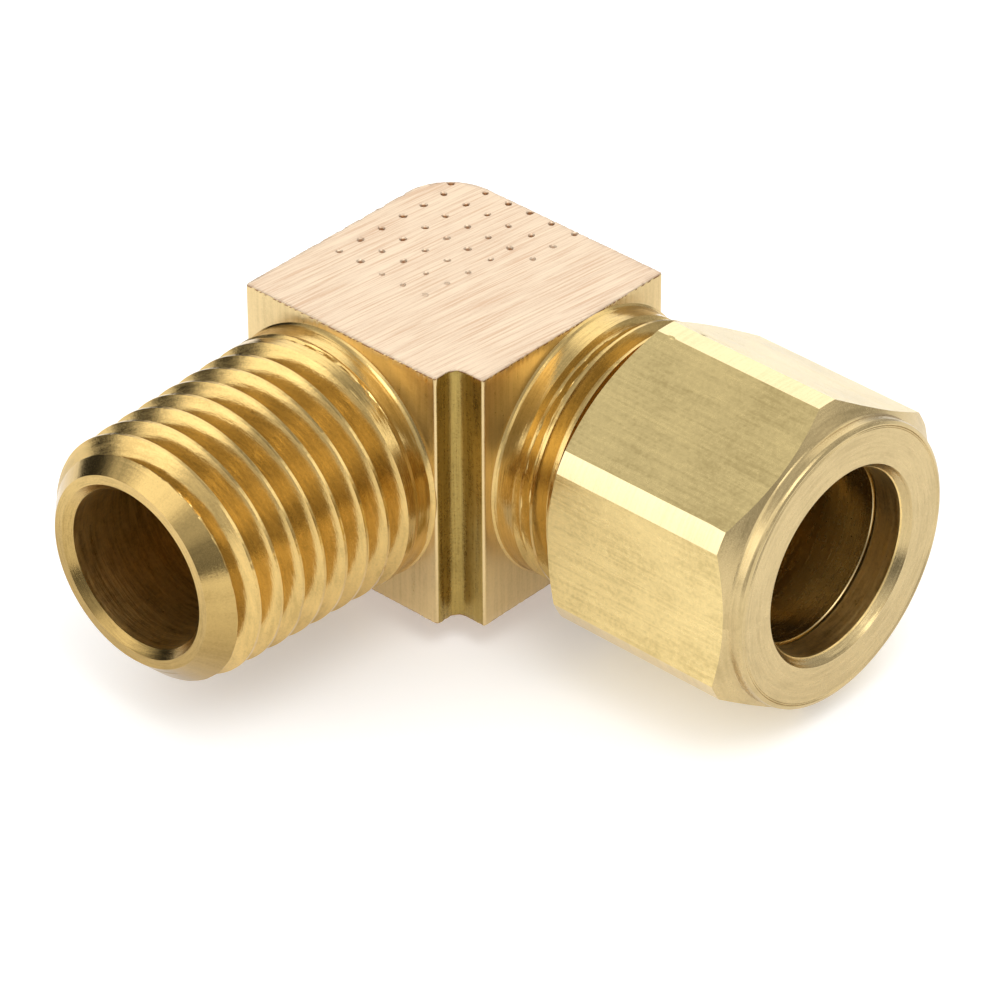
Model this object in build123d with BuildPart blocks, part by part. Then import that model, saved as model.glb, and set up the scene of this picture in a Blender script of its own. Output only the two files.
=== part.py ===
from build123d import *
import os
import math

os.makedirs("parts", exist_ok=True)

# ---------------------------------------------------------------------------
# 90 degree compression elbow for 3/8 in tube, with a 1/4-18 male taper pipe
# thread.  Millimetres.  The origin is the point where the two leg axes cross.
# +X is the compression (tube) leg, -Y is the pipe-thread leg, +Z is up the
# extruded bar that the body is sawn from.
# ---------------------------------------------------------------------------

# body block: a slice of 9/16 in extruded bar
BAR = 14.2875              # across the bar, and the length of the slice
BLOCK_X0 = -5.69           # outer face behind the compression leg
BLOCK_Y1 = 5.24            # outer face behind the pipe leg
BLOCK_X1 = BLOCK_X0 + BAR  # face that the compression leg stands on
BLOCK_Y0 = BLOCK_Y1 - BAR  # face that the pipe leg stands on
CORNER_R = 2.86            # rounded outer corner of the bar
NOTCH_X = 1.78             # square notch in the inner corner of the bar
NOTCH_Y = 1.40
NOTCH_R = 0.60             # rounding at the bottom of the notch
EDGE_R = 0.12              # broken edges of the extrusion

# pipe leg, along -Y
PIPE_END = 22.86           # axis crossing to the end face
PIPE_COLLAR_R = 6.62       # plain collar behind the thread
PIPE_ROOT_R = 6.78         # where the collar flares into the block
PIPE_PITCH = 1.4111        # 18 threads per inch
PIPE_TIP_R = 6.36          # crest radius at the end face
PIPE_TAPER = 1.0 / 32.0    # radius per length: 1 in 16 on the diameter
PIPE_DEPTH = 0.98          # thread depth
PIPE_CREST = 0.16          # flat on the crest
PIPE_CHAMFER = 1.34        # 45 degree lead chamfer
PIPE_BORE_R = 4.20         # waterway
PIPE_BORE_CH = 0.38        # bore chamfer at the end face
PIPE_BORE_END = 0.80       # full diameter ends this far past the crossing
PIPE_CREST_AT = 22.10      # distance of the first crest on the +X side
PIPE_TURNS = 9.0

# compression leg, along +X
LEG_R = 7.10               # crest radius, 9/16-24 external
LEG_COLLAR_R = 6.95        # turned collar between the block and the thread
LEG_ROOT_R = 7.10          # where the collar flares into the block
LEG_GROOVE_X = 10.00       # turned groove in the collar
LEG_THREAD_X = 10.60       # first full crest
LEG_END = 16.80            # end of the leg
LEG_PITCH = 1.05833        # 24 threads per inch
LEG_DEPTH = 0.62
LEG_CREST = 0.14
LEG_CHAMFER = 0.70
SOCKET_R = 4.83            # tube socket, for 9.525 mm tube
SOCKET_STOP = 11.00        # shoulder that the tube end rests on
FLOW_R = 3.90              # waterway past the tube stop
FLOW_END = -0.60
SEAT_R = 5.75              # mouth of the 45 degree cone seat

# nut
NUT_AF = 15.24             # across flats
NUT_TURNED_R = 8.48        # corners turned off at this radius
NUT_ANGLE = 28.6           # first corner, turned about +X from +Y
NUT_X0 = 12.50             # rear face
NUT_X1 = 24.48             # front face
NUT_BOSS_R = 7.42          # short round boss at the front
NUT_BOSS_X = 23.70
NUT_REAR_R = 7.34
NUT_MOUTH_R = 5.23         # countersunk mouth
NUT_MOUTH_DEPTH = 0.42
NUT_BORE_R = 4.88          # tube clearance bore
NUT_THREAD_END = 18.30     # inner end of the threaded hole
THREAD_CLEAR = 0.08        # radial clearance between nut and leg threads
NUT_CONE_END = 22.55       # 45 degree inner cone reaches the bore here

# sleeve (ferrule)
SLEEVE_X0 = 16.85
SLEEVE_X1 = 22.42
SLEEVE_IN_R = 4.80
SLEEVE_NOSE_R = 5.06
SLEEVE_MID_R = 5.74


# ---------------------------------------------------------------------------
# helical groove cutters, made round +Z and then placed on their leg
# ---------------------------------------------------------------------------


def groove_cutter(pitch, turns, crest_r, depth, crest_flat, cone_deg, over):
    """A 60 degree V groove swept up a helix.  The path starts on +X at z = 0,
    in the middle of the groove; crest_r is the crest radius there."""
    half_out = (pitch - crest_flat) / 2
    half_in = half_out - depth * math.tan(math.radians(30))
    slope = (half_out - half_in) / depth
    path = Helix(pitch, pitch * turns, crest_r, cone_angle=cone_deg, mode=Mode.PRIVATE)
    start = path @ 0
    frame = Plane(
        origin=start,
        x_dir=Vector(start.X, start.Y, 0).normalized(),
        z_dir=path % 0,
    )
    with BuildSketch(frame) as section:
        Polygon(
            (over, -(half_out + over * slope)),
            (over, half_out + over * slope),
            (-depth, half_in),
            (-depth, -half_in),
            align=None,
        )
    with BuildPart() as groove:
        sweep(section.sketch, path=path, is_frenet=True)
    return groove.part


def pipe_crest(dist):
    """Crest radius of the taper thread at a distance from the crossing."""
    return PIPE_TIP_R + (PIPE_END - dist) * PIPE_TAPER


def run_out(pitch, part_turn, crest_r, depth, crest_flat, rise, over):
    """The same groove climbing out of the metal over part of a turn; it ends
    on +X at z = 0, where the full-depth groove starts."""
    length = pitch * part_turn
    cut = groove_cutter(
        pitch,
        part_turn + 0.01,
        crest_r + rise,
        depth,
        crest_flat,
        -math.degrees(math.atan(rise / length)),
        over,
    )
    return Rot(0, 0, -360 * part_turn) * Pos(0, 0, -length) * cut


# pipe thread: starts in a groove, half a pitch behind a crest
pipe_start = PIPE_CREST_AT - PIPE_PITCH * (PIPE_TURNS - 1.5)
pipe_place = Rot(90, 0, 0) * Pos(0, 0, pipe_start)
pipe_groove = pipe_place * groove_cutter(
    PIPE_PITCH,
    PIPE_TURNS - 0.4,
    pipe_crest(pipe_start),
    PIPE_DEPTH,
    PIPE_CREST,
    -math.degrees(math.atan(PIPE_TAPER)),
    0.12,
)
pipe_run_out = pipe_place * run_out(
    PIPE_PITCH, 0.95, pipe_crest(pipe_start), PIPE_DEPTH, PIPE_CREST, 0.96, 0.12
)

# compression leg thread: first groove starts half a pitch past the first crest
leg_start = LEG_THREAD_X + LEG_PITCH / 2
leg_turns = (LEG_END - leg_start) / LEG_PITCH + 0.6
leg_groove = Pos(0, 0, leg_start) * groove_cutter(
    LEG_PITCH, leg_turns, LEG_R, LEG_DEPTH, LEG_CREST, 0, 0.10
)
leg_run_out = Pos(0, 0, leg_start) * run_out(
    LEG_PITCH, 0.5, LEG_R, LEG_DEPTH, LEG_CREST, 0.62, 0.10
)

# the compression leg is turned and threaded round +Z, then laid along +X with
# its +X side turned to +Y
THREAD_FROM = LEG_GROOVE_X + 0.42
with BuildPart() as leg_rod:
    with Locations((0, 0, THREAD_FROM)):
        Cylinder(
            LEG_R,
            LEG_END - THREAD_FROM,
            align=(Align.CENTER, Align.CENTER, Align.MIN),
        )
    add(leg_groove, mode=Mode.SUBTRACT)
    # 45 degree lead chamfer
    with BuildSketch(Plane.XZ) as lead:
        with BuildLine():
            Polyline(
                (LEG_R + 0.5, LEG_END - LEG_CHAMFER - 0.5),
                (LEG_R + 0.5, LEG_END + 0.5),
                (LEG_R - LEG_CHAMFER - 0.5, LEG_END + 0.5),
                close=True,
            )
        make_face()
    revolve(axis=Axis.Z, mode=Mode.SUBTRACT)

with BuildPart() as turned_leg:
    with BuildSketch(Plane.XZ) as leg_profile:
        with BuildLine():
            Polyline(
                (0, 0),
                (5.0, 0),
                (5.0, BLOCK_X1 - 0.3),
                (LEG_ROOT_R, BLOCK_X1 - 0.3),
                (LEG_ROOT_R, BLOCK_X1),
                (LEG_COLLAR_R + 0.03, BLOCK_X1 + 0.12),
                (LEG_COLLAR_R, BLOCK_X1 + 0.30),
                (LEG_COLLAR_R, LEG_GROOVE_X - 0.22),
                (LEG_COLLAR_R - 0.30, LEG_GROOVE_X - 0.05),
                (LEG_COLLAR_R - 0.30, LEG_GROOVE_X + 0.12),
                (LEG_R, THREAD_FROM),
                (LEG_R, THREAD_FROM + 0.08),
                (5.0, THREAD_FROM + 0.08),
                (5.0, LEG_END),
                (0, LEG_END),
                close=True,
            )
        make_face()
    revolve(axis=Axis.Z)
    add(leg_rod.part)
    add(leg_run_out, mode=Mode.SUBTRACT)
threaded_leg = Rot(0, 90, 0) * Rot(0, 0, 90) * turned_leg.part

# ---------------------------------------------------------------------------
# body: block, two legs, waterway
# ---------------------------------------------------------------------------
with BuildPart() as elbow_body:
    # slice of the extruded bar, with its round outer corner and inner notch
    with BuildSketch(Plane.XY.offset(-BAR / 2)) as bar_section:
        with BuildLine() as bar_outline:
            Polyline(
                (BLOCK_X0, BLOCK_Y0),
                (BLOCK_X1 - NOTCH_X, BLOCK_Y0),
                (BLOCK_X1 - NOTCH_X, BLOCK_Y0 + NOTCH_Y),
                (BLOCK_X1, BLOCK_Y0 + NOTCH_Y),
                (BLOCK_X1, BLOCK_Y1),
                (BLOCK_X0, BLOCK_Y1),
                close=True,
            )
        make_face()
        corners = bar_section.vertices()
        fillet(
            [v for v in corners if abs(v.X - BLOCK_X0) < 0.01 and abs(v.Y - BLOCK_Y1) < 0.01],
            CORNER_R,
        )
        corners = bar_section.vertices()
        fillet(
            [
                v
                for v in corners
                if abs(v.X - BLOCK_X1 + NOTCH_X) < 0.01
                and abs(v.Y - BLOCK_Y0 - NOTCH_Y) < 0.01
            ],
            NOTCH_R,
        )
        corners = bar_section.vertices()
        fillet(
            [
                v
                for v in corners
                if (abs(v.X - BLOCK_X0) < 0.01 and abs(v.Y - BLOCK_Y0) < 0.01)
                or (abs(v.X - BLOCK_X1) < 0.01 and abs(v.Y - BLOCK_Y1) < 0.01)
                or (abs(v.X - BLOCK_X1) < 0.01 and abs(v.Y - BLOCK_Y0 - NOTCH_Y) < 0.01)
                or (abs(v.X - BLOCK_X1 + NOTCH_X) < 0.01 and abs(v.Y - BLOCK_Y0) < 0.01)
            ],
            EDGE_R,
        )
    extrude(amount=BAR)

    # pipe leg, turned round the Y axis
    with BuildSketch(Plane.XY) as pipe_profile:
        with BuildLine():
            Polyline(
                (0, 0),
                (5.6, 0),
                (5.6, BLOCK_Y0 + 0.3),
                (PIPE_ROOT_R, BLOCK_Y0 + 0.3),
                (PIPE_ROOT_R, BLOCK_Y0),
                (PIPE_COLLAR_R + 0.05, BLOCK_Y0 - 0.16),
                (PIPE_COLLAR_R, BLOCK_Y0 - 0.40),
                (pipe_crest(10.2), -10.20),
                (pipe_crest(PIPE_END - PIPE_CHAMFER), -(PIPE_END - PIPE_CHAMFER)),
                (
                    pipe_crest(PIPE_END - PIPE_CHAMFER) - PIPE_CHAMFER,
                    -PIPE_END,
                ),
                (0, -PIPE_END),
                close=True,
            )
        make_face()
    revolve(axis=Axis.Y)

    # compression leg
    add(threaded_leg)

    # pipe thread
    add(pipe_groove, mode=Mode.SUBTRACT)
    add(pipe_run_out, mode=Mode.SUBTRACT)

    # waterway up the pipe leg, with its drill point and mouth chamfer
    with BuildSketch(Plane.XY) as pipe_bore:
        with BuildLine():
            Polyline(
                (0, -PIPE_END - 1),
                (PIPE_BORE_R + PIPE_BORE_CH, -PIPE_END - 1),
                (PIPE_BORE_R + PIPE_BORE_CH, -PIPE_END),
                (PIPE_BORE_R, -PIPE_END + PIPE_BORE_CH),
                (PIPE_BORE_R, PIPE_BORE_END),
                (0, PIPE_BORE_END + PIPE_BORE_R / math.tan(math.radians(59))),
                close=True,
            )
        make_face()
    revolve(axis=Axis.Y, mode=Mode.SUBTRACT)

    # cone seat, tube socket, tube stop and waterway of the compression leg
    with BuildSketch(Plane.XY) as leg_bore:
        with BuildLine():
            Polyline(
                (FLOW_END - FLOW_R / math.tan(math.radians(59)), 0),
                (FLOW_END, FLOW_R),
                (SOCKET_STOP, FLOW_R),
                (SOCKET_STOP, SOCKET_R),
                (LEG_END - (SEAT_R - SOCKET_R), SOCKET_R),
                (LEG_END, SEAT_R),
                (LEG_END + 1, SEAT_R),
                (LEG_END + 1, 0),
                close=True,
            )
        make_face()
    revolve(axis=Axis.X, mode=Mode.SUBTRACT)
elbow_body.part.label = "elbow_body"
export_step(elbow_body.part, "parts/elbow_body.step")

# ---------------------------------------------------------------------------
# nut: hexagon bar, turned corners, boss, threaded hole
# ---------------------------------------------------------------------------
TAN30 = math.tan(math.radians(30))


def ridge_cutter(pitch, turns, crest_r, depth, crest_flat, clear, under):
    """The external ridge opened out by a clearance, swept up a helix: the
    groove it leaves in a nut.  The path starts on +X at z = 0, on a crest."""
    t30 = math.tan(math.radians(30))
    half_top = crest_flat / 2 + clear * 0.30
    top = crest_r + clear
    low = crest_r - depth + clear - under
    half_low = crest_flat / 2 + (crest_r - low) * t30 + clear / math.cos(math.radians(30))
    half_top = crest_flat / 2 - clear * t30 + clear / math.cos(math.radians(30))
    path = Helix(pitch, pitch * turns, top, mode=Mode.PRIVATE)
    start = path @ 0
    frame = Plane(
        origin=start,
        x_dir=Vector(start.X, start.Y, 0).normalized(),
        z_dir=path % 0,
    )
    with BuildSketch(frame) as section:
        Polygon(
            (0, -half_top),
            (0, half_top),
            (low - top, half_low),
            (low - top, -half_low),
            align=None,
        )
    with BuildPart() as ridge:
        sweep(section.sketch, path=path, is_frenet=True)
    return ridge.part


# crests of the leg thread on the +Y side are at LEG_THREAD_X plus whole pitches
ridge_start = LEG_THREAD_X + LEG_PITCH * 1
ridge_turns = (NUT_THREAD_END - ridge_start) / LEG_PITCH
nut_groove = Rot(0, 90, 0) * Rot(0, 0, 90) * Pos(0, 0, ridge_start) * ridge_cutter(
    LEG_PITCH, ridge_turns, LEG_R, LEG_DEPTH, LEG_CREST, THREAD_CLEAR, 0.10
)

with BuildPart() as compression_nut:
    with BuildSketch(Plane.YZ.offset(NUT_X0)) as nut_hex:
        RegularPolygon(NUT_AF / 2, 6, major_radius=False, rotation=NUT_ANGLE)
    extrude(amount=NUT_X1 - NUT_X0)
    # turned corners, 30 degree end chamfers and the front boss
    with BuildSketch(Plane.XY) as nut_turning:
        with BuildLine():
            Polyline(
                (NUT_X0, 0),
                (NUT_X0, NUT_REAR_R),
                (NUT_X0 + (NUT_TURNED_R - NUT_REAR_R) * TAN30, NUT_TURNED_R),
                (NUT_BOSS_X - (NUT_TURNED_R - NUT_BOSS_R) * TAN30, NUT_TURNED_R),
                (NUT_BOSS_X, NUT_BOSS_R),
                (NUT_X1 - 0.18, NUT_BOSS_R),
                (NUT_X1, NUT_BOSS_R - 0.18),
                (NUT_X1, 0),
                close=True,
            )
        make_face()
    revolve(axis=Axis.X, mode=Mode.INTERSECT)
    # tube hole, inner cone, and the hole at the thread's major diameter
    with BuildSketch(Plane.XY) as nut_hole:
        with BuildLine():
            Polyline(
                (NUT_X0 - 1, 0),
                (NUT_X0 - 1, LEG_R + THREAD_CLEAR + 0.02),
                (NUT_X0, LEG_R + THREAD_CLEAR + 0.02),
                (NUT_X0 + 0.55, LEG_R - LEG_DEPTH + THREAD_CLEAR),
                (NUT_CONE_END - (LEG_R - LEG_DEPTH + THREAD_CLEAR - NUT_BORE_R), LEG_R - LEG_DEPTH + THREAD_CLEAR),
                (NUT_CONE_END, NUT_BORE_R),
                (NUT_X1 - NUT_MOUTH_DEPTH, NUT_BORE_R),
                (NUT_X1, NUT_MOUTH_R),
                (NUT_X1 + 1, NUT_MOUTH_R),
                (NUT_X1 + 1, 0),
                close=True,
            )
        make_face()
    revolve(axis=Axis.X, mode=Mode.SUBTRACT)
    add(nut_groove, mode=Mode.SUBTRACT)
compression_nut.part.label = "compression_nut"
export_step(compression_nut.part, "parts/compression_nut.step")

# ---------------------------------------------------------------------------
# sleeve: barrel-shaped ring with a cone at each end
# ---------------------------------------------------------------------------
with BuildPart() as sleeve:
    with BuildSketch(Plane.XY) as sleeve_profile:
        with BuildLine():
            Polyline(
                (SLEEVE_X0 + 0.18, SLEEVE_NOSE_R + 0.20),
                (SLEEVE_X0, SLEEVE_NOSE_R),
                (SLEEVE_X0, SLEEVE_IN_R),
                (SLEEVE_X1, SLEEVE_IN_R),
                (SLEEVE_X1, 4.93),
                (SLEEVE_X1 - 0.22, 5.12),
            )
            ThreePointArc(
                (SLEEVE_X1 - 0.22, 5.12),
                ((SLEEVE_X0 + SLEEVE_X1) / 2, SLEEVE_MID_R),
                (SLEEVE_X0 + 0.18, SLEEVE_NOSE_R + 0.20),
            )
        make_face()
    revolve(axis=Axis.X)
sleeve.part.label = "sleeve"
export_step(sleeve.part, "parts/sleeve.step")
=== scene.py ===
import math

import bpy
import numpy as np
from mathutils import Matrix, Vector
from mathutils.geometry import delaunay_2d_cdt


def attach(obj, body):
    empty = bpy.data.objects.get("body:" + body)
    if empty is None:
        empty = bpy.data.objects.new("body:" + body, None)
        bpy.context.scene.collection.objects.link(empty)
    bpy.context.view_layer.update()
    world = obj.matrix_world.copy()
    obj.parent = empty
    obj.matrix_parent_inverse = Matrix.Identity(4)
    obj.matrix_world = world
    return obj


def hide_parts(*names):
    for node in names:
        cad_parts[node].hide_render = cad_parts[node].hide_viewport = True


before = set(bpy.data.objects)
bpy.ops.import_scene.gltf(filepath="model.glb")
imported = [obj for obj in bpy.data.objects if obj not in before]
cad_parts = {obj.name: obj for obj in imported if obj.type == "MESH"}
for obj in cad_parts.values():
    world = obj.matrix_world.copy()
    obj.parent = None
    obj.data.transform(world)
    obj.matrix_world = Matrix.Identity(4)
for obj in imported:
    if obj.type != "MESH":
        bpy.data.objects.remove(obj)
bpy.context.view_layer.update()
rng = np.random.default_rng(7)
MM = 0.001
TAU = 2 * math.pi

# ---------------------------------------------------------------------------
# dimensions, millimetres, in the row frame
# ---------------------------------------------------------------------------
BAR = 14.2875
BX0, BY1 = -5.69, 5.24
BX1, BY0 = BX0 + BAR, BY1 - BAR
BZ = BAR / 2
CORNER_R, NOTCH_X, NOTCH_Y, NOTCH_R = 2.86, 1.78, 1.40, 0.60

PIPE_END, PIPE_P, PIPE_TIP_R, PIPE_D, PIPE_C = 22.86, 1.4111, 6.36, 0.98, 0.16
PIPE_CH, PIPE_AT, PIPE_TURNS = 1.34, 22.10, 7.5
PIPE_BORE, PIPE_BORE_CH, PIPE_BORE_END = 4.20, 0.38, 0.80

LEG_R, LEG_P, LEG_D, LEG_C = 7.10, 1.05833, 0.62, 0.14
LEG_X, LEG_END, LEG_CH = 10.60, 16.80, 0.70
SOCKET_R, SOCKET_STOP, FLOW_R, FLOW_END, SEAT_R = 4.83, 11.0, 3.90, -0.60, 5.75

NUT_AF, NUT_R, NUT_ANG = 15.24, 8.48, 28.6
NUT_X0, NUT_X1, BOSS_R, BOSS_X, REAR_R = 12.50, 24.48, 7.42, 23.70, 7.34
MOUTH_R, MOUTH_D, NUT_BORE = 5.23, 0.42, 4.88
CLEAR = 0.08


# ---------------------------------------------------------------------------
# mesh helpers
# ---------------------------------------------------------------------------
def to_axis(axis, d, r, phi):
    if axis == "X":
        return np.stack([d, r * np.cos(phi), r * np.sin(phi)], -1)
    return np.stack([r * np.cos(phi), -d, r * np.sin(phi)], -1)


def make_mesh(name, verts, faces, mats, index=None):
    me = bpy.data.meshes.new(name)
    v = np.asarray(verts, np.float64) * MM
    f = np.asarray(faces, np.int32)
    n = f.shape[1]
    me.vertices.add(len(v))
    me.vertices.foreach_set("co", v.astype(np.float32).ravel())
    me.loops.add(f.size)
    me.loops.foreach_set("vertex_index", f.ravel())
    me.polygons.add(len(f))
    me.polygons.foreach_set("loop_start", np.arange(0, f.size, n, dtype=np.int32))
    for m in mats:
        me.materials.append(m)
    if index is not None:
        me.polygons.foreach_set("material_index", np.asarray(index, np.int32))
    me.update(calc_edges=True)
    me.validate()
    ob = bpy.data.objects.new(name, me)
    bpy.context.scene.collection.objects.link(ob)
    return ob


def smooth_by_angle(ob, deg=32):
    me = ob.data
    me.polygons.foreach_set("use_smooth", np.ones(len(me.polygons), bool))
    me.set_sharp_from_angle(angle=math.radians(deg))
    me.update()


def turned(name, axis, D, R, closed, mats, index=None):
    """A turned solid from station arrays D and R, each (angles, stations).
    closed joins the last station to the first; otherwise the ends close on
    the axis."""
    n, m = R.shape
    phi = np.arange(n) / n * TAU
    P = to_axis(axis, D, R, phi[:, None] + 0 * R).reshape(-1, 3)
    i = np.arange(n)[:, None]
    j = np.arange(m if closed else m - 1)[None, :]
    i2, j2 = (i + 1) % n, (j + 1) % m
    quads = np.stack(
        [i * m + j, i2 * m + j, i2 * m + j2, i * m + j2], -1
    ).reshape(-1, 4)
    tris = np.stack([quads[:, [0, 1, 2]], quads[:, [0, 2, 3]]], 1).reshape(-1, 3)
    if not closed:
        c0, c1 = len(P), len(P) + 1
        ends = to_axis(axis, np.array([D[0, 0], D[0, -1]]), np.zeros(2), np.zeros(2))
        P = np.vstack([P, ends])
        k = np.arange(n)
        k2 = (k + 1) % n
        cap0 = np.stack([k * 0 + c0, k2 * m, k * m], -1)
        cap1 = np.stack([k * 0 + c1, k * m + m - 1, k2 * m + m - 1], -1)
        tris = np.vstack([tris, cap0, cap1])
    a, b, c = P[tris[:, 0]], P[tris[:, 1]], P[tris[:, 2]]
    if np.einsum("ij,ij->i", a, np.cross(b, c)).sum() < 0:
        tris = tris[:, ::-1]
    return make_mesh(name, P, tris, mats, index)


def stations(points, steps):
    """Points (d, r) joined by straight runs; steps gives the spacing of each."""
    d, r = [], []
    for (d0, r0), (d1, r1), s in zip(points[:-1], points[1:], steps):
        k = max(1, int(math.ceil(math.hypot(d1 - d0, r1 - r0) / s)))
        t = np.arange(k) / k
        d.append(d0 + (d1 - d0) * t)
        r.append(r0 + (r1 - r0) * t)
    d.append(np.array([points[-1][0]]))
    r.append(np.array([points[-1][1]]))
    return np.concatenate(d), np.concatenate(r)


def wave(x, seeds, amp):
    """A small fixed sum of sines, for marks that repeat nowhere near."""
    out = 0 * x
    for k in range(len(seeds)):
        out = out + np.sin(x * seeds[k] + 1.7 * k * seeds[-1 - k])
    return out * amp / len(seeds)


def noise2(u, v, cell, seed):
    """Smooth value noise on a grid, periodic in nothing."""
    g = np.random.default_rng(seed).normal(size=(256, 256))
    x, y = u / cell, v / cell
    xi, yi = np.floor(x).astype(int), np.floor(y).astype(int)
    fx, fy = x - xi, y - yi
    fx, fy = fx * fx * (3 - 2 * fx), fy * fy * (3 - 2 * fy)
    a = g[xi % 256, yi % 256]
    b = g[(xi + 1) % 256, yi % 256]
    c = g[xi % 256, (yi + 1) % 256]
    d = g[(xi + 1) % 256, (yi + 1) % 256]
    return (a * (1 - fx) + b * fx) * (1 - fy) + (c * (1 - fx) + d * fx) * fy


def ring_noise(phi, d, cells, cell_d, seed):
    """Value noise that closes round the turn: cells steps in a turn."""
    g = np.random.default_rng(seed).normal(size=(cells, 512))
    x, y = phi / TAU * cells, d / cell_d
    xi, yi = np.floor(x).astype(int), np.floor(y).astype(int)
    fx, fy = x - xi, y - yi
    fx, fy = fx * fx * (3 - 2 * fx), fy * fy * (3 - 2 * fy)
    a = g[xi % cells, yi % 512]
    b = g[(xi + 1) % cells, yi % 512]
    c = g[xi % cells, (yi + 1) % 512]
    e = g[(xi + 1) % cells, (yi + 1) % 512]
    return (a * (1 - fx) + b * fx) * (1 - fy) + (c * (1 - fx) + e * fx) * fy


# ---------------------------------------------------------------------------
# materials
# ---------------------------------------------------------------------------
class Nodes:
    def __init__(self, name):
        self.mat = bpy.data.materials.new(name)
        self.mat.use_nodes = True
        self.t = self.mat.node_tree
        self.t.nodes.clear()
        self.out = self.t.nodes.new("ShaderNodeOutputMaterial")
        self.bsdf = self.t.nodes.new("ShaderNodeBsdfPrincipled")
        self.t.links.new(self.bsdf.outputs[0], self.out.inputs[0])
        tc = self.t.nodes.new("ShaderNodeTexCoord")
        self.obj = tc.outputs["Object"]

    def link(self, a, b):
        self.t.links.new(a, b)

    def math(self, op, a, b=0.0, c=None, clamp=False):
        n = self.t.nodes.new("ShaderNodeMath")
        n.operation = op
        n.use_clamp = clamp
        for k, v in enumerate((a, b, c)):
            if v is None:
                continue
            if hasattr(v, "is_linked") or hasattr(v, "links"):
                self.link(v, n.inputs[k])
            else:
                n.inputs[k].default_value = v
        return n.outputs[0]

    def sep(self, v):
        n = self.t.nodes.new("ShaderNodeSeparateXYZ")
        self.link(v, n.inputs[0])
        return n.outputs

    def comb(self, x, y, z):
        n = self.t.nodes.new("ShaderNodeCombineXYZ")
        for k, v in enumerate((x, y, z)):
            if hasattr(v, "links"):
                self.link(v, n.inputs[k])
            else:
                n.inputs[k].default_value = v
        return n.outputs[0]

    def noise(self, vec, scale, detail=3.0, rough=0.6, dist=0.0):
        n = self.t.nodes.new("ShaderNodeTexNoise")
        self.link(vec, n.inputs["Vector"])
        n.inputs["Scale"].default_value = scale
        n.inputs["Detail"].default_value = detail
        n.inputs["Roughness"].default_value = rough
        n.inputs["Distortion"].default_value = dist
        return n.outputs["Fac"]

    def ramp(self, fac, stops, interp="LINEAR"):
        n = self.t.nodes.new("ShaderNodeValToRGB")
        n.color_ramp.interpolation = interp
        e = n.color_ramp.elements
        while len(e) > 1:
            e.remove(e[-1])
        e[0].position, e[0].color = stops[0][0], (*stops[0][1], 1)
        for p, c in stops[1:]:
            x = e.new(p)
            x.color = (*c, 1)
        self.link(fac, n.inputs[0])
        return n.outputs[0]

    def range(self, v, a, b, lo, hi):
        n = self.t.nodes.new("ShaderNodeMapRange")
        self.link(v, n.inputs[0])
        n.inputs[1].default_value, n.inputs[2].default_value = a, b
        n.inputs[3].default_value, n.inputs[4].default_value = lo, hi
        n.clamp = True
        return n.outputs[0]

    def bump(self, height, distance, strength=1.0, normal=None):
        n = self.t.nodes.new("ShaderNodeBump")
        n.inputs["Strength"].default_value = strength
        n.inputs["Distance"].default_value = distance
        self.link(height, n.inputs["Height"])
        if normal is not None:
            self.link(normal, n.inputs["Normal"])
        return n.outputs[0]


def srgb(r, g, b):
    return tuple(
        (c / 255 / 12.92) if c / 255 <= 0.04045 else ((c / 255 + 0.055) / 1.055) ** 2.4
        for c in (r, g, b)
    )


BRASS = srgb(222, 184, 116)
BRASS_DARK = srgb(196, 152, 84)
BRASS_PALE = srgb(236, 206, 150)


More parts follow.
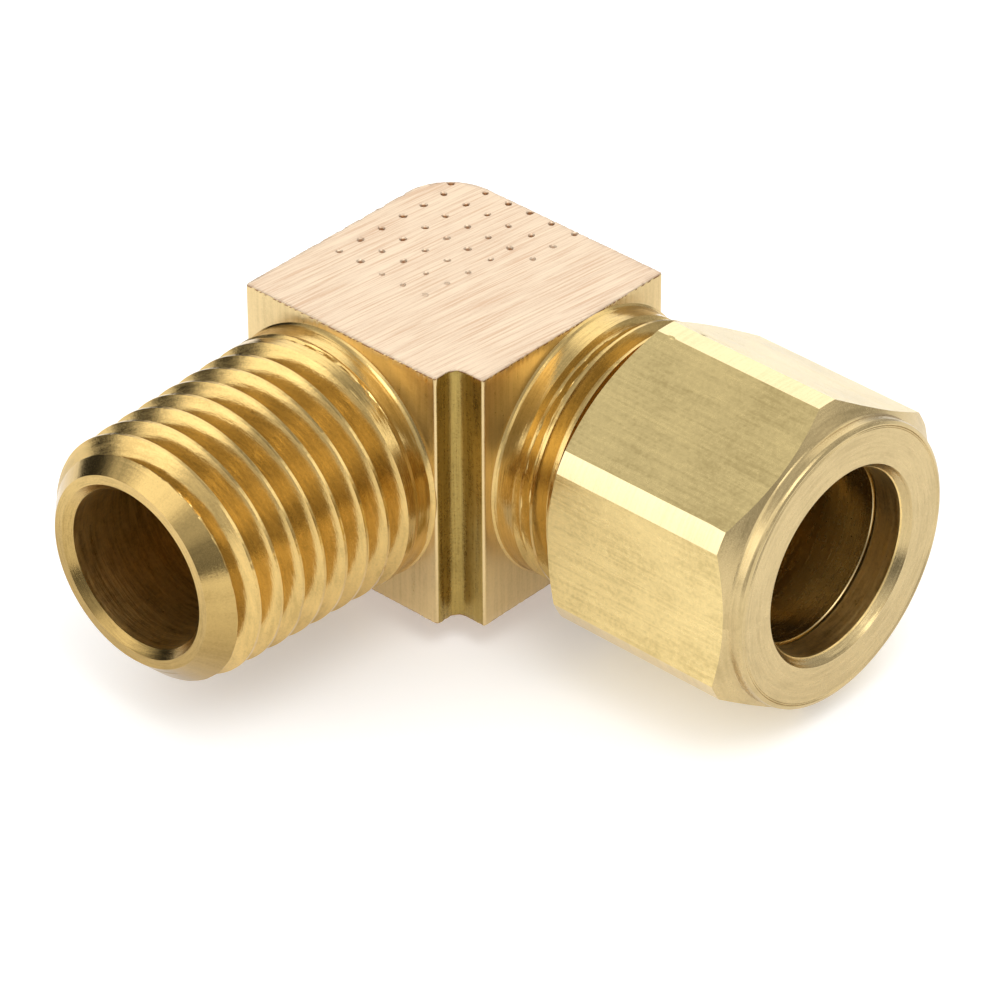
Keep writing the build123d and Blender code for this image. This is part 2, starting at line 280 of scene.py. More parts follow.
def brass(name, base, rough, spread, coords, lines, line_depth, grain, grain_depth, aniso=0.0, tangent=None, dirt=0.0, tone=0.10):
    """Brass whose tool marks run along one direction.  coords gives the vector
    in which the marks are thin along its first part."""
    n = Nodes(name)
    x, y, z = n.sep(n.obj)
    if coords == "turn_x":
        rad = n.math("SQRT", n.math("ADD", n.math("MULTIPLY", y, y), n.math("MULTIPLY", z, z)))
        ang = n.math("ARCTAN2", z, y)
        a, b = n.math("ADD", x, rad), n.math("MULTIPLY", ang, 0.0004)
    elif coords == "turn_y":
        rad = n.math("SQRT", n.math("ADD", n.math("MULTIPLY", x, x), n.math("MULTIPLY", z, z)))
        ang = n.math("ARCTAN2", z, x)
        a, b = n.math("SUBTRACT", rad, y), n.math("MULTIPLY", ang, 0.0004)
    elif coords == "drawn_x":  # marks run along X
        ang = n.math("ARCTAN2", z, y)
        a, b = n.math("MULTIPLY", ang, 0.008), n.math("MULTIPLY", x, 0.035)
    elif coords == "drawn_z":  # marks run along Z
        a, b = n.math("ADD", x, y), n.math("MULTIPLY", z, 0.03)
    else:  # sawn: marks run along a direction near Y
        c, s = math.cos(math.radians(6.5)), math.sin(math.radians(6.5))
        a = n.math("SUBTRACT", n.math("MULTIPLY", x, c), n.math("MULTIPLY", y, s))
        b = n.math("MULTIPLY", n.math("ADD", n.math("MULTIPLY", x, s), n.math("MULTIPLY", y, c)), 0.022)
    v = n.comb(a, b, 0.0)
    fine = n.noise(v, lines, 4.0, 0.65)
    broad = n.noise(v, lines * 0.18, 3.0, 0.6)
    grit = n.noise(n.obj, grain, 3.0, 0.7)
    blotch = n.noise(n.obj, 260.0, 4.0, 0.55)
    # colour: tone follows the marks and the blotches
    k1, k2, k3 = {"sawn": (0.74, 0.12, 0.14), "drawn_x": (0.34, 0.30, 0.36)}.get(coords, (0.45, 0.25, 0.30))
    mixv = n.math("ADD", n.math("MULTIPLY", fine, k1), n.math("MULTIPLY", grit, k2))
    mixv = n.math("ADD", mixv, n.math("MULTIPLY", blotch, k3))
    lo = tuple(c * (1 - k * tone) for c, k in zip(base, (1.0, 1.7, 2.1) if coords == "sawn" else (1.5, 1.6, 1.9)))
    hi = tuple(min(1.0, c * (1 + tone)) for c in base)
    col = n.ramp(mixv, [(0.41, lo), (0.50, base), (0.59, hi)])
    if coords == "sawn":
        # grime left in the punched dents
        pit = n.range(n.math("ABSOLUTE", z), 0.007065, 0.007118, 0.0, 1.0)
        mx = n.t.nodes.new("ShaderNodeMix")
        mx.data_type = "RGBA"
        n.link(pit, mx.inputs[0])
        mx.inputs[6].default_value = (*srgb(138, 96, 62), 1)
        n.link(col, mx.inputs[7])
        col = mx.outputs[2]
    if coords == "turn_y" and name == "brass_pipe_thread":
        # painted shade: the end of the leg (chamfer and end face) is darkened and greyed, most of all low down, where
        # it reflects the shaded floor under the part
        painted_shade_tip = n.range(y, -0.02150, -0.02135, 1.0, 0.0)
        side = n.range(z, -0.002, 0.004, 1.0, 0.25)
        mx = n.t.nodes.new("ShaderNodeMix")
        mx.data_type = "RGBA"
        mx.blend_type = "MULTIPLY"
        n.link(n.math("MULTIPLY", painted_shade_tip, side), mx.inputs[0])
        n.link(col, mx.inputs[6])
        mx.inputs[7].default_value = (0.62, 0.60, 0.56, 1)
        col = mx.outputs[2]
    n.link(col, n.bsdf.inputs["Base Color"])
    n.bsdf.inputs["Metallic"].default_value = 1.0
    r = n.math("ADD", n.math("MULTIPLY", fine, 0.55), n.math("MULTIPLY", grit, 0.45))
    n.link(n.range(r, 0.33, 0.67, max(0.03, rough - spread), rough + spread), n.bsdf.inputs["Roughness"])
    if aniso:
        n.bsdf.inputs["Anisotropic"].default_value = aniso
        tn = n.t.nodes.new("ShaderNodeTangent")
        tn.direction_type = "RADIAL"
        tn.axis = tangent
        n.link(tn.outputs[0], n.bsdf.inputs["Tangent"])
    nb = n.bump(broad, line_depth * 3.0, 0.6)
    nb = n.bump(fine, line_depth, 1.0, nb)
    nb = n.bump(grit, grain_depth, 1.0, nb)
    n.link(nb, n.bsdf.inputs["Normal"])
    return n.mat


M_SAWN = brass("brass_sawn", srgb(212, 191, 166), 0.42, 0.08, "sawn", 8500, 1.0e-5, 9000, 3.0e-6, tone=0.15)
M_BAR = brass("brass_bar", srgb(217, 192, 142), 0.32, 0.06, "drawn_z", 4200, 5.0e-6, 7000, 3.0e-6, tone=0.08)
M_PIPE = brass("brass_pipe_thread", srgb(208, 177, 113), 0.175, 0.05, "turn_y", 8000, 1.0e-5, 8000, 2.4e-6, tone=0.12)
M_LEG = brass("brass_leg_thread", srgb(200, 171, 110), 0.175, 0.05, "turn_x", 8000, 1.0e-5, 8000, 2.4e-6, tone=0.12)
M_BORE_Y = brass("brass_bore_y", srgb(230, 200, 134), 0.34, 0.08, "turn_y", 4600, 2.8e-5, 6000, 4.0e-6, tone=0.16)
M_BORE_X = brass("brass_bore_x", srgb(232, 202, 136), 0.34, 0.08, "turn_x", 4600, 2.4e-5, 6000, 4.0e-6, tone=0.16)
M_HEX = brass("brass_hex_bar", srgb(221, 198, 138), 0.24, 0.07, "drawn_x", 4400, 1.1e-5, 4200, 1.4e-6, tone=0.12)
M_TURN = brass("brass_turned", srgb(193, 171, 124), 0.25, 0.06, "turn_x", 6000, 8.0e-6, 7500, 2.0e-6, tone=0.10)
# paler, brighter copy of the turned brass for the nut's turned corners: a painted highlight along the corners
M_BAND_PAINTED_HIGHLIGHT = brass("brass_turned_corner_painted_highlight", srgb(219, 198, 153), 0.23, 0.05, "turn_x", 6000, 6.0e-6, 7500, 1.6e-6, tone=0.06)
# darker, more contrasty brass for the notch: painted shade in the recess of the notch
M_NOTCH = brass("brass_notch_painted_shade", srgb(160, 136, 76), 0.30, 0.08, "drawn_z", 4200, 1.2e-5, 7000, 4.0e-6, tone=0.22)

# ---------------------------------------------------------------------------
# body: block
# ---------------------------------------------------------------------------
NPHI = 504


def arc(cx, cy, r, a0, a1, k):
    a = np.radians(np.linspace(a0, a1, k))
    return [(cx + r * math.cos(t), cy + r * math.sin(t)) for t in a]


def bar_outline():
    """The bar's section, anticlockwise, as corner runs."""
    e = 0.16
    nx, ny = BX1 - NOTCH_X, BY0 + NOTCH_Y
    pts = []
    pts += arc(BX0 + e, BY0 + e, e, 180, 270, 5)
    pts += arc(nx - e, BY0 + e, e, 270, 360, 5)
    pts += arc(nx + NOTCH_R, ny - NOTCH_R, NOTCH_R, 180, 90, 9)
    pts += arc(BX1 - e, ny + e, e, 270, 360, 5)
    pts += arc(BX1 - e, BY1 - e, e, 0, 90, 5)
    pts += arc(BX0 + CORNER_R, BY1 - CORNER_R, CORNER_R, 90, 180, 25)
    out = []
    for p, q in zip(pts, pts[1:] + pts[:1]):
        k = max(1, int(math.hypot(q[0] - p[0], q[1] - p[1]) / 0.11))
        for t in range(k):
            out.append((p[0] + (q[0] - p[0]) * t / k, p[1] + (q[1] - p[1]) * t / k))
    return np.array(out)


def inward(poly):
    nxt, prv = np.roll(poly, -1, 0), np.roll(poly, 1, 0)
    t = nxt - prv
    t /= np.linalg.norm(t, axis=1)[:, None]
    return np.stack([-t[:, 1], t[:, 0]], 1)


OUT = bar_outline()
INW = inward(OUT)
LEN = np.cumsum(np.r_[0, np.linalg.norm(np.diff(OUT, axis=0), axis=1)])

# punched dents: rows over the rounded corner, fading towards the front
DENT_AT = [
    (-4.59, 4.39), (-4.16, 3.4), (-2.69, 4.84), (-4.18, 1.97), (-2.67, 3.41), (-1.18, 4.87),
    (-4.24, 0.55), (-2.7, 1.94), (-1.26, 3.43), (0.17, 4.97), (-4.24, -0.99), (-2.71, 0.5),
    (-1.21, 1.94), (0.22, 3.33), (1.64, 4.91), (-4.28, -2.44), (-2.79, -0.99), (-1.25, 0.48),
    (0.2, 1.9), (1.64, 3.44), (3.11, 4.95), (-4.33, -3.9), (-2.78, -2.5), (-1.28, -1.03),
    (0.17, 0.45), (1.64, 1.88), (3.1, 3.39), (-2.93, -3.86), (-1.4, -2.44), (0.14, -0.98),
    (1.65, 0.49), (3.13, 1.9), (-1.35, -4.01), (0.17, -2.53), (1.63, -1.1), (0.05, -4.02),
    (1.54, -2.5), (1.45, -3.96),
]
DENTS = []
for dx, dy in DENT_AT:
    fade = 1.0 - 0.085 * max(0.0, (dx + 4.0) * 0.75 - (dy - 4.0) * 0.55)
    DENTS.append((dx, dy, rng.uniform(0.19, 0.245) * (0.7 + 0.3 * fade), rng.uniform(0.10, 0.15) * max(fade, 0.3), rng.uniform(0, 180)))
EDGE_DENTS = [(-5.61, 1.95), (-5.66, 0.52), (-5.70, -0.94), (-5.75, -2.42), (-5.76, -3.92)]


def top_height(p, k=1.0):
    """Height of the sawn face, from its nominal plane, with the dents."""
    x, y = p[:, 0], p[:, 1]
    h = 0.004 * noise2(x, y, 1.3, 3) + 0.0025 * noise2(x * 6, y, 0.9, 5)
    for dx, dy, r, depth, a in DENTS:
        u, v = x - dx, y - dy
        c, s = math.cos(math.radians(a)), math.sin(math.radians(a))
        d = np.hypot((u * c + v * s) * 1.0, (-u * s + v * c) * 1.18)
        h = h - k * depth * np.clip(1 - (d / r) ** 2, 0, None) ** 0.8
        h = h + k * 0.012 * np.exp(-(((d - r * 1.12) / (0.28 * r)) ** 2))
    return h


def cap_points(dense):
    pts = []
    step = 0.42
    for x in np.arange(BX0 + 0.3, BX1, step):
        for y in np.arange(BY0 + 0.3, BY1, step):
            pts.append((x + 0.03 * math.sin(9 * y), y + 0.03 * math.sin(7 * x)))
    if dense:
        for dx, dy, r, _, _ in DENTS:
            pts.append((dx, dy))
            for f, k in ((0.35, 8), (0.65, 12), (0.9, 16), (1.05, 18), (1.25, 20), (1.6, 20)):
                for t in range(k):
                    a = TAU * (t + 0.5 * (int(f * 20) % 2)) / k
                    pts.append((dx + f * r * math.cos(a), dy + f * r * math.sin(a)))
    pts = np.array(pts)
    # keep only points well inside the outline
    keep = inside(pts, OUT + INW * 0.12)
    return pts[keep]


def inside(p, poly):
    c = np.zeros(len(p), bool)
    x, y = p[:, 0], p[:, 1]
    j = len(poly) - 1
    for i in range(len(poly)):
        xi, yi, xj, yj = *poly[i], *poly[j]
        hit = ((yi > y) != (yj > y)) & (x < (xj - xi) * (y - yi) / (yj - yi + 1e-12) + xi)
        c ^= hit
        j = i
    return c


def block():
    n = len(OUT)
    # rings from the bottom up: cap edge, broken edge, walls, broken edge, cap edge
    r1 = np.random.default_rng(11)
    wob = 0.045 * np.abs(wave(LEN, (5.3, 11.9, 29.0, 47.0), 1.6)) + 0.030 * np.abs(r1.normal(size=n))
    wob_b = 0.045 * np.abs(wave(LEN, (6.1, 10.3, 27.0, 43.0), 1.6)) + 0.030 * np.abs(r1.normal(size=n))
    for ex, ey in EDGE_DENTS:
        wob = wob + 0.16 * np.exp(-(((OUT[:, 0] - ex) ** 2 + (OUT[:, 1] - ey) ** 2) / 0.16**2))
    rings = []
    levels = [
        (-BZ, 0.05 + wob_b, 0 * wob),
        (-BZ + 0.03, 0.010 + 0.5 * wob_b, 0 * wob),
        (-BZ + 0.10, 0.1 * wob_b, 0 * wob),
    ]
    for z in np.linspace(-BZ + 0.5, BZ - 0.5, 14):
        levels.append((z, 0 * wob, 0 * wob))
    levels += [
        (BZ - 0.10, 0.1 * wob, 0 * wob),
        (BZ - 0.035, 0.010 + wob * 0.5, 0 * wob),
        (BZ - 0.012, 0.035 + wob, 0 * wob),
    ]
    streak = 0.0025 * np.abs(r1.normal(size=n))
    streak = 0.5 * streak + 0.25 * (np.roll(streak, 1) + np.roll(streak, -1))
    in_notch = (OUT[:, 0] > BX1 - NOTCH_X - 0.3) & (OUT[:, 1] < BY0 + NOTCH_Y + 0.3)
    streak = streak * np.where(in_notch, 5.0, 1.0)
    V = []
    for z, inset, dz in levels:
        p = OUT + INW * (inset + streak)[:, None]
        V.append(np.column_stack([p, z + dz]))
    V = np.vstack(V)
    m = len(levels)
    k = np.arange(n)
    k2 = (k + 1) % n
    tris = []
    for l in range(m - 1):
        a, b = l * n, (l + 1) * n
        tris.append(np.stack([a + k, a + k2, b + k2], 1))
        tris.append(np.stack([a + k, b + k2, b + k], 1))
    tris = [np.vstack(tris)]
    verts = [V]
    base = len(V)
    for top in (False, True):
        l = m - 1 if top else 0
        ring = V[l * n : (l + 1) * n, :2]
        inner = cap_points(top)
        co = [Vector(p) for p in np.vstack([ring, inner])]
        edges = [(i, (i + 1) % n) for i in range(n)]
        res = delaunay_2d_cdt(co, edges, [], 1, 1e-7, True)
        vv, ff, orig = res[0], res[2], res[3]
        P = np.array([(v.x, v.y) for v in vv])
        idx = np.full(len(P), -1)
        for o in range(len(P)):
            for s in orig[o]:
                if s < n:
                    idx[o] = l * n + s
                    break
        new = np.where(idx < 0)[0]
        idx[new] = base + np.arange(len(new))
        z = top_height(P[new], 1.0 if top else 0.0)
        zz = (BZ - 0.008 + z) if top else (-BZ - 0 * z)
        if top:
            zz = np.minimum(zz, BZ + 0.006)
        verts.append(np.column_stack([P[new], zz]))
        base += len(new)
        F = np.array([list(f) for f in ff if len(f) == 3])
        F = idx[F[inside(P[F].mean(1), ring)]]
        a2 = verts_xy(verts)
        p0, p1, p2 = a2[F[:, 0]], a2[F[:, 1]], a2[F[:, 2]]
        cr = (p1[:, 0] - p0[:, 0]) * (p2[:, 1] - p0[:, 1]) - (p1[:, 1] - p0[:, 1]) * (p2[:, 0] - p0[:, 0])
        flip = (cr > 0) != top
        F[flip] = F[flip][:, ::-1]
        tris.append(F)
    V = np.vstack(verts)
    T = np.vstack(tris)
    return make_mesh("w_block", V, T, [M_BAR])


def verts_xy(vs):
    return np.vstack(vs)[:, :2]


def on_lines(D, P, turns_of, sense, pitch, lines, step, lo, hi):
    """Move grid points on to the edges of a helical thread form."""
    t = turns_of(D, P)
    off = (t - np.round(t)) * pitch
    for e in lines:
        m = (np.abs(off - e) < step / 2) & (D > lo) & (D < hi)
        D = np.where(m, D + sense * (e - off), D)
    return D


def pipe_crest(d):
    return PIPE_TIP_R + (PIPE_END - d) / 32.0


def pipe_leg():
    step = 0.045
    d, r = stations(
        [
            (4.0, 5.4),
            (-BY0 - 0.25, 5.4),
            (-BY0 - 0.25, 6.78),
            (-BY0, 6.78),
            (-BY0 + 0.10, 6.69),
            (-BY0 + 0.24, 6.64),
            (-BY0 + 0.45, 6.62),
            (10.10, 6.62),
            (10.40, pipe_crest(10.4)),
            (PIPE_END - PIPE_CH, pipe_crest(PIPE_END - PIPE_CH)),
            (PIPE_END, pipe_crest(PIPE_END - PIPE_CH) - PIPE_CH),
            (PIPE_END, 2.0),
        ],
        [2, 1.4, 0.3, 0.05, 0.05, 0.05, 0.06, step, step, step, 0.5],
    )
    phi = np.arange(NPHI) / NPHI * TAU
    D = np.tile(d, (NPHI, 1))
    R = np.tile(r, (NPHI, 1))
    P = phi[:, None] + 0 * D
    root = PIPE_C / 2 + PIPE_D * math.tan(math.radians(30))
    D = on_lines(D, P, lambda d, f: (PIPE_AT - d) / PIPE_P + f / TAU, -1, PIPE_P, (-root, -PIPE_C / 2, PIPE_C / 2, root), step, 10.46, PIPE_END - PIPE_CH - 0.06)
    R = np.where((D > 10.43) & (D < PIPE_END - PIPE_CH - 0.03), pipe_crest(D), R)
    turns = (PIPE_AT - D) / PIPE_P + P / TAU
    w = np.abs(turns - np.round(turns)) * PIPE_P
    depth = np.clip((w - PIPE_C / 2) / math.tan(math.radians(30)), 0, PIPE_D)
    along = np.floor(turns) + 0.5 - P / TAU
    rise = np.clip(along - PIPE_TURNS, 0, None) / 0.95 * 0.96
    torn = 0.005 * ring_noise(P, D, 160, 0.4, 21) * np.exp(-((w / 0.13) ** 2))
    TR = pipe_crest(D) - depth + rise - np.abs(torn)
    marks = 0.0022 * ring_noise(P * 0, D, 4, 0.045, 31)
    body = (D > -BY0 + 0.3) & (D < PIPE_END - 0.01)
    R = np.where(D > 10.0, np.minimum(R, TR), R)
    R = np.where(body, R + np.minimum(marks, 0) * 1.0, R)
    return turned("w_pipe", "Y", D, R, False, [M_PIPE])


def comp_leg():
    step = 0.045
    X1 = BX1
    d, r = stations(
        [
            (4.0, 5.2),
            (X1 - 0.25, 5.2),
            (X1 - 0.25, 7.10),
            (X1, 7.10),
            (X1 + 0.08, 7.00),
            (X1 + 0.22, 6.96),
            (X1 + 0.40, 6.95),
            (9.78, 6.95),
            (9.95, 6.65),
            (10.12, 6.65),
            (10.42, 7.10),
            (LEG_END - LEG_CH, LEG_R),
            (LEG_END, LEG_R - LEG_CH),
            (LEG_END, 2.0),
        ],
        [2, 1.4, 0.3, 0.04, 0.04, 0.05, 0.06, 0.05, 0.05, 0.05, step, step, 0.5],
    )
    phi = np.arange(NPHI) / NPHI * TAU
    D = np.tile(d, (NPHI, 1))
    R = np.tile(r, (NPHI, 1))
    P = phi[:, None] + 0 * D
    root = LEG_C / 2 + LEG_D * math.tan(math.radians(30))
    D = on_lines(D, P, lambda d, f: (d - LEG_X) / LEG_P - f / TAU, 1, LEG_P, (-root, -LEG_C / 2, LEG_C / 2, root), step, 10.48, LEG_END - LEG_CH - 0.06)
    turns = (D - LEG_X) / LEG_P - P / TAU
    w = np.abs(turns - np.round(turns)) * LEG_P
    depth = np.clip((w - LEG_C / 2) / math.tan(math.radians(30)), 0, LEG_D)
    torn = 0.005 * ring_noise(P, D, 160, 0.4, 22) * np.exp(-((w / 0.12) ** 2))
    TR = LEG_R - depth - np.abs(torn)
    R = np.where(D > 10.12, np.minimum(R, np.maximum(TR, 6.48)), R)
    marks = 0.0022 * ring_noise(P * 0, D, 4, 0.045, 32)
    body = (D > X1 + 0.3) & (D < LEG_END - 0.01)
    R = np.where(body, R + np.minimum(marks, 0), R)
    return turned("w_leg", "X", D, R, False, [M_LEG])


def drill(name, axis, pts, mat, steps=None):
    d, r = stations(pts, steps or [0.4] * (len(pts) - 1))
    n = 256
    D = np.tile(d, (n, 1))
    R = np.tile(r, (n, 1))
    return turned(name, axis, D, R, False, [mat])


def boolean(a, b, op):
    m = a.modifiers.new("b", "BOOLEAN")
    m.operation = op
    m.object = b
    m.solver = "MANIFOLD"
    dg = bpy.context.evaluated_depsgraph_get()
    me = bpy.data.meshes.new_from_object(a.evaluated_get(dg), depsgraph=dg)
    a.modifiers.clear()
    a.data = me
    bpy.data.objects.remove(b, do_unlink=True)
    return a


def elbow_body():
    a = block()
    a = boolean(a, pipe_leg(), "UNION")
    a = boolean(a, comp_leg(), "UNION")
    t59 = math.tan(math.radians(59))
    bore = drill(
        "w_bore_y",
        "Y",
        [
            (-(PIPE_BORE_END + PIPE_BORE / t59), 0.02),
            (-PIPE_BORE_END, PIPE_BORE),
            (PIPE_END - PIPE_BORE_CH, PIPE_BORE),
            (PIPE_END, PIPE_BORE + PIPE_BORE_CH),
            (PIPE_END + 0.5, PIPE_BORE + PIPE_BORE_CH),
        ],
        M_BORE_Y,
    )
    a = boolean(a, bore, "DIFFERENCE")
    bore = drill(
        "w_bore_x",
        "X",
        [
            (FLOW_END - FLOW_R / t59, 0.02),
            (FLOW_END, FLOW_R),
            (SOCKET_STOP, FLOW_R),
            (SOCKET_STOP, SOCKET_R),
            (LEG_END - (SEAT_R - SOCKET_R), SOCKET_R),
            (LEG_END, SEAT_R),
            (LEG_END + 0.5, SEAT_R),
        ],
        M_BORE_X,
    )
    a = boolean(a, bore, "DIFFERENCE")
    a.name = "elbow_body_look"
    me = a.data
    me.name = "elbow_body_look"
    me.materials.clear()
    for m in (M_BAR, M_SAWN, M_PIPE, M_LEG, M_BORE_Y, M_BORE_X, M_NOTCH):
        me.materials.append(m)
    nf = len(me.polygons)
    c = np.empty(nf * 3)
    me.polygons.foreach_get("center", c)
    c = c.reshape(-1, 3) / MM
    nn = np.empty(nf * 3)
    me.polygons.foreach_get("normal", nn)
    nn = nn.reshape(-1, 3)
    ry, rx = np.hypot(c[:, 0], c[:, 2]), np.hypot(c[:, 1], c[:, 2])
    idx = np.zeros(nf, int)
    idx[(np.abs(c[:, 2]) > BZ - 0.16) & (np.abs(nn[:, 2]) > 0.35)] = 1
    # the notch's walls take the darker material: painted shade
    idx[(c[:, 0] > BX1 - NOTCH_X - 0.02) & (c[:, 1] < BY0 + NOTCH_Y + 0.02) & (np.abs(nn[:, 2]) < 0.35)] = 6
    out_y = nn[:, 0] * c[:, 0] + nn[:, 2] * c[:, 2]
    out_x = nn[:, 1] * c[:, 1] + nn[:, 2] * c[:, 2]
    idx[(c[:, 1] < BY0 - 0.002)] = 2
    idx[(c[:, 0] > BX1 + 0.002)] = 3
    in_y = (ry < PIPE_BORE + 0.02) & (out_y < 0.0) & (c[:, 1] < PIPE_BORE_END + 3)
    in_x = (rx < SEAT_R + 0.01) & (out_x < 0.0) & (c[:, 0] > FLOW_END - 3)
    idx[in_y & (np.abs(ry - PIPE_BORE) < 0.02)] = 4
    idx[in_y & (c[:, 1] > 0.7) & (np.abs(ry - PIPE_BORE) < 4.3)] = 4
    idx[in_x & ((np.abs(rx - FLOW_R) < 0.02) | (np.abs(rx - SOCKET_R) < 0.02) | ((c[:, 0] > LEG_END - 1.0) & (rx > SOCKET_R - 0.1)))] = 5
    idx[(np.abs(c[:, 0] - SOCKET_STOP) < 0.02) & (rx < SOCKET_R)] = 5
    me.polygons.foreach_set("material_index", idx.astype(np.int32))
    smooth_by_angle(a, 28)
    return a


# ---------------------------------------------------------------------------
# nut
# ---------------------------------------------------------------------------
def smin(a, b, k):
    h = np.clip(0.5 + 0.5 * (b - a) / k, 0, 1)
    return b * (1 - h) + a * h - k * h * (1 - h)


def hex_bar():
    """The drawn hexagon bar the nut is cut from, with its marks and nicks."""
    a0 = math.radians(NUT_ANG)
    side = NUT_AF / math.sqrt(3)
    k = int(side / (0.12))
    ang, rad, run = [], [], []
    for f in range(6):
        mid = a0 + (f + 0.5) * TAU / 6
        for t in range(k):
            u = -side / 2 + side * t / k
            ang.append(mid + math.atan2(u, NUT_AF / 2))
            rad.append(math.hypot(u, NUT_AF / 2))
            run.append(f * side + u)
    ang, rad = np.array(ang), np.array(rad)
    n = len(ang)
    xs = np.arange(NUT_X0 - 0.4, NUT_X1 + 0.4, 0.12)
    r1 = np.random.default_rng(23)
    mark = 0.0045 * np.abs(r1.normal(size=n))
    mark = 0.5 * mark + 0.25 * (np.roll(mark, 1) + np.roll(mark, -1))
    A, X = np.meshgrid(ang, xs, indexing="ij")
    R = rad[:, None] - mark[:, None] - 0.003 * np.abs(ring_noise(A % TAU, X, 120, 2.4, 61))
    for px, pa, sx, dep in (
        (14.0, 92.0, 0.20, 0.07),
        (14.9, 84.0, 0.22, 0.05),
        (14.2, 149.5, 0.20, 0.08),
        (22.6, 123.0, 0.30, 0.035),
        (22.9, 143.0, 0.40, 0.045),
        (17.2, 116.0, 0.22, 0.025),
        (19.4, 131.0, 0.18, 0.025),
        (21.8, 186.0, 0.34, 0.035),
        (16.4, 172.0, 0.20, 0.03),
        (18.9, 196.0, 0.22, 0.03),
    ):
        da = (np.degrees(A) - pa + 180) % 360 - 180
        q = ((X - px) / sx) ** 2 + (np.radians(da) * 8 / (0.6 * sx)) ** 2
        R = R - dep * np.exp(-q)
    m = len(xs)
    P = to_axis("X", X, R, A).reshape(-1, 3)
    i = np.arange(n)[:, None]
    j = np.arange(m - 1)[None, :]
    i2 = (i + 1) % n
    q = np.stack([i * m + j, i2 * m + j, i2 * m + j + 1, i * m + j + 1 + 0 * i2], -1).reshape(-1, 4)
    tris = np.vstack([q[:, [0, 1, 2]], q[:, [0, 2, 3]]])
    c0, c1 = len(P), len(P) + 1
    P = np.vstack([P, [[xs[0], 0, 0], [xs[-1], 0, 0]]])
    k = np.arange(n)
    k2 = (k + 1) % n
    tris = np.vstack([tris, np.stack([k * 0 + c0, k2 * m, k * m], -1), np.stack([k * 0 + c1, k * m + m - 1, k2 * m + m - 1], -1)])
    va, vb, vc = P[tris[:, 0]], P[tris[:, 1]], P[tris[:, 2]]
    if np.einsum("ij,ij->i", va, np.cross(vb, vc)).sum() < 0:
        tris = tris[:, ::-1]
    return make_mesh("w_hex", P, tris, [M_HEX])


